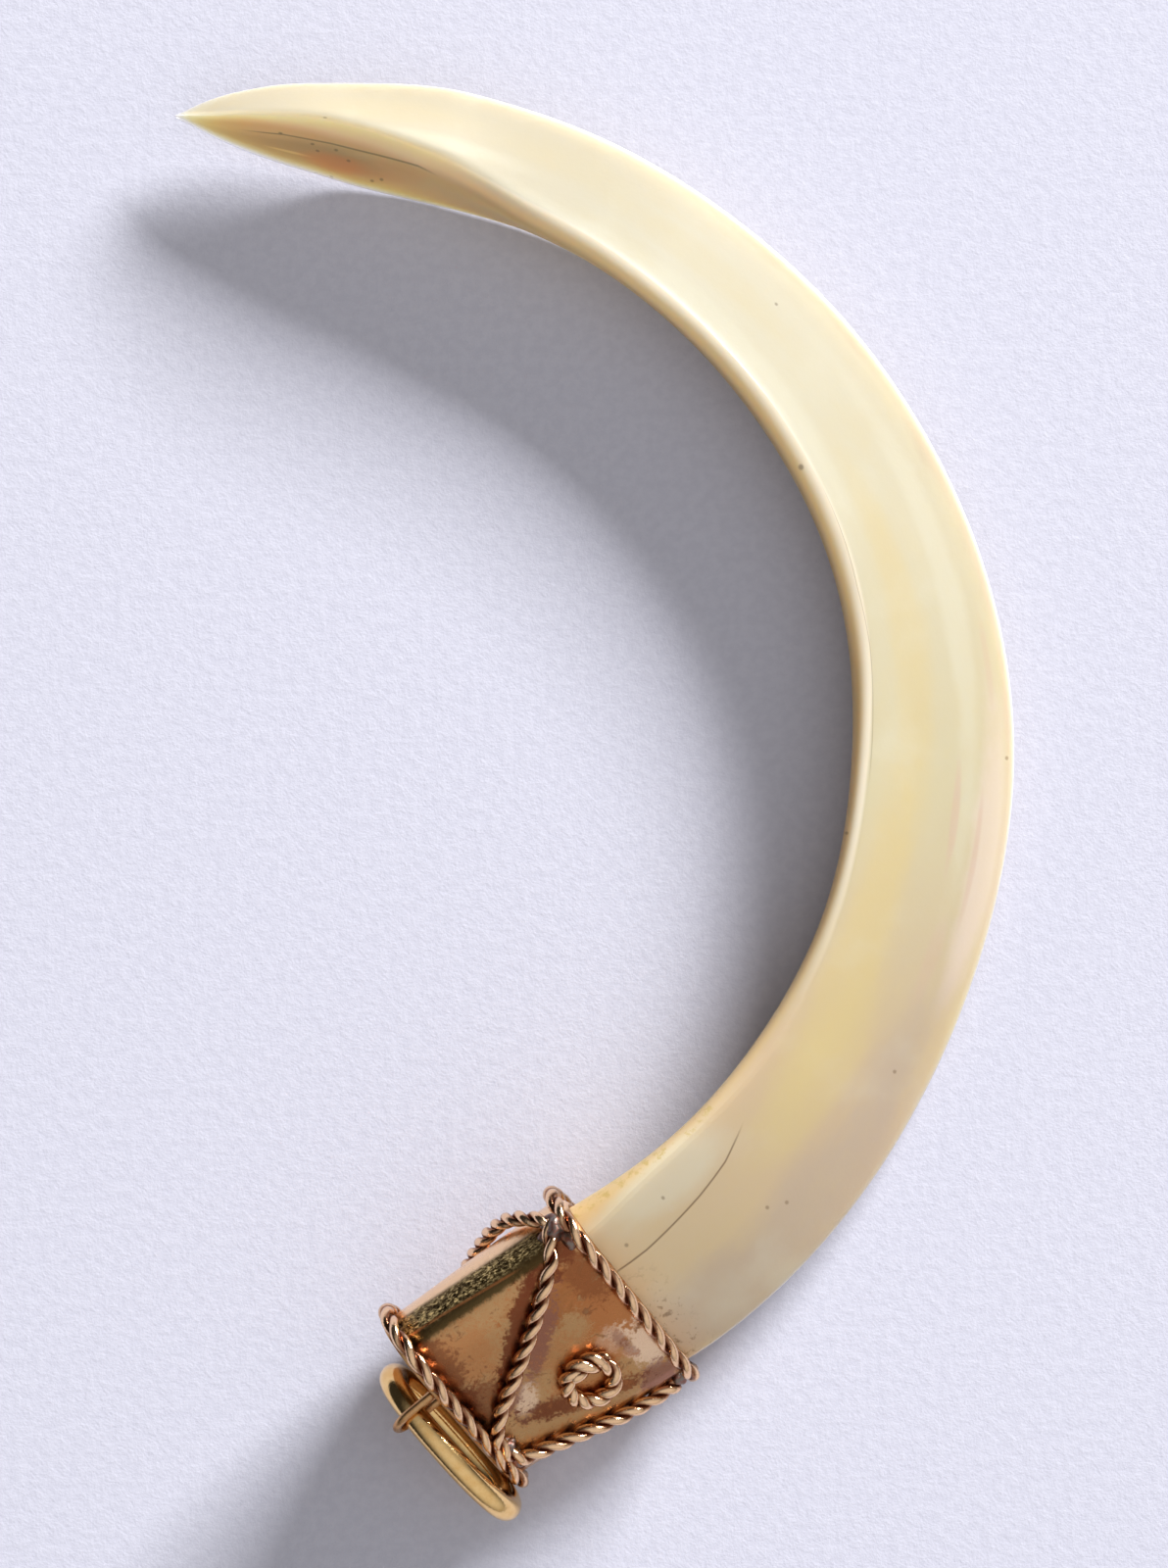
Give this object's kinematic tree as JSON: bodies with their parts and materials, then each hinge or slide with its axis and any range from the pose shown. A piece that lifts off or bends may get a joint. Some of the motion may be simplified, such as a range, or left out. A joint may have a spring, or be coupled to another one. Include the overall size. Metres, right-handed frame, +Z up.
{
  "type": "boar tusk pendant",
  "caption": "Curled boar tusk in a gold cap with twisted wire trim, a wire staple and an oval bail ring to hang it by.",
  "frame": {"origin": "middle of the bounding box at its lowest level, the surface that the tusk lies on", "axes": "+Z up from that surface, +Y from the cap towards the tip's end of the curl, +X towards the curl's outer bow"},
  "size_m": [0.0732, 0.125, 0.0155],
  "materials": {
    "tusk": "polished ivory-like enamel and dentine, cream to tan",
    "cap_gold": "low-carat gold sheet with copper-red and brown tarnish",
    "rope_gold": "twisted gold wire, bright on the crests and dark in the gaps",
    "ring_gold": "polished yellow gold"
  },
  "bodies": {
    "pendant": {"tusk": "tusk", "cap_sleeve": "cap_gold", "end_plate": "cap_gold", "mouth_rope": "rope_gold", "plate_rope": "rope_gold", "zigzag_rope": "rope_gold", "coil_rope": "rope_gold", "staple": "rope_gold"},
    "bail": {"bail_ring": "ring_gold"}
  },
  "joints": [
    {"name": "bail_swing", "type": "hinge", "parent": "pendant", "child": "bail", "pos_m": [-0.01562, -0.05294, 0.00887], "axis": [-0.614, 0.7399, -0.2748], "range_deg": [0, 195]}
  ]
}
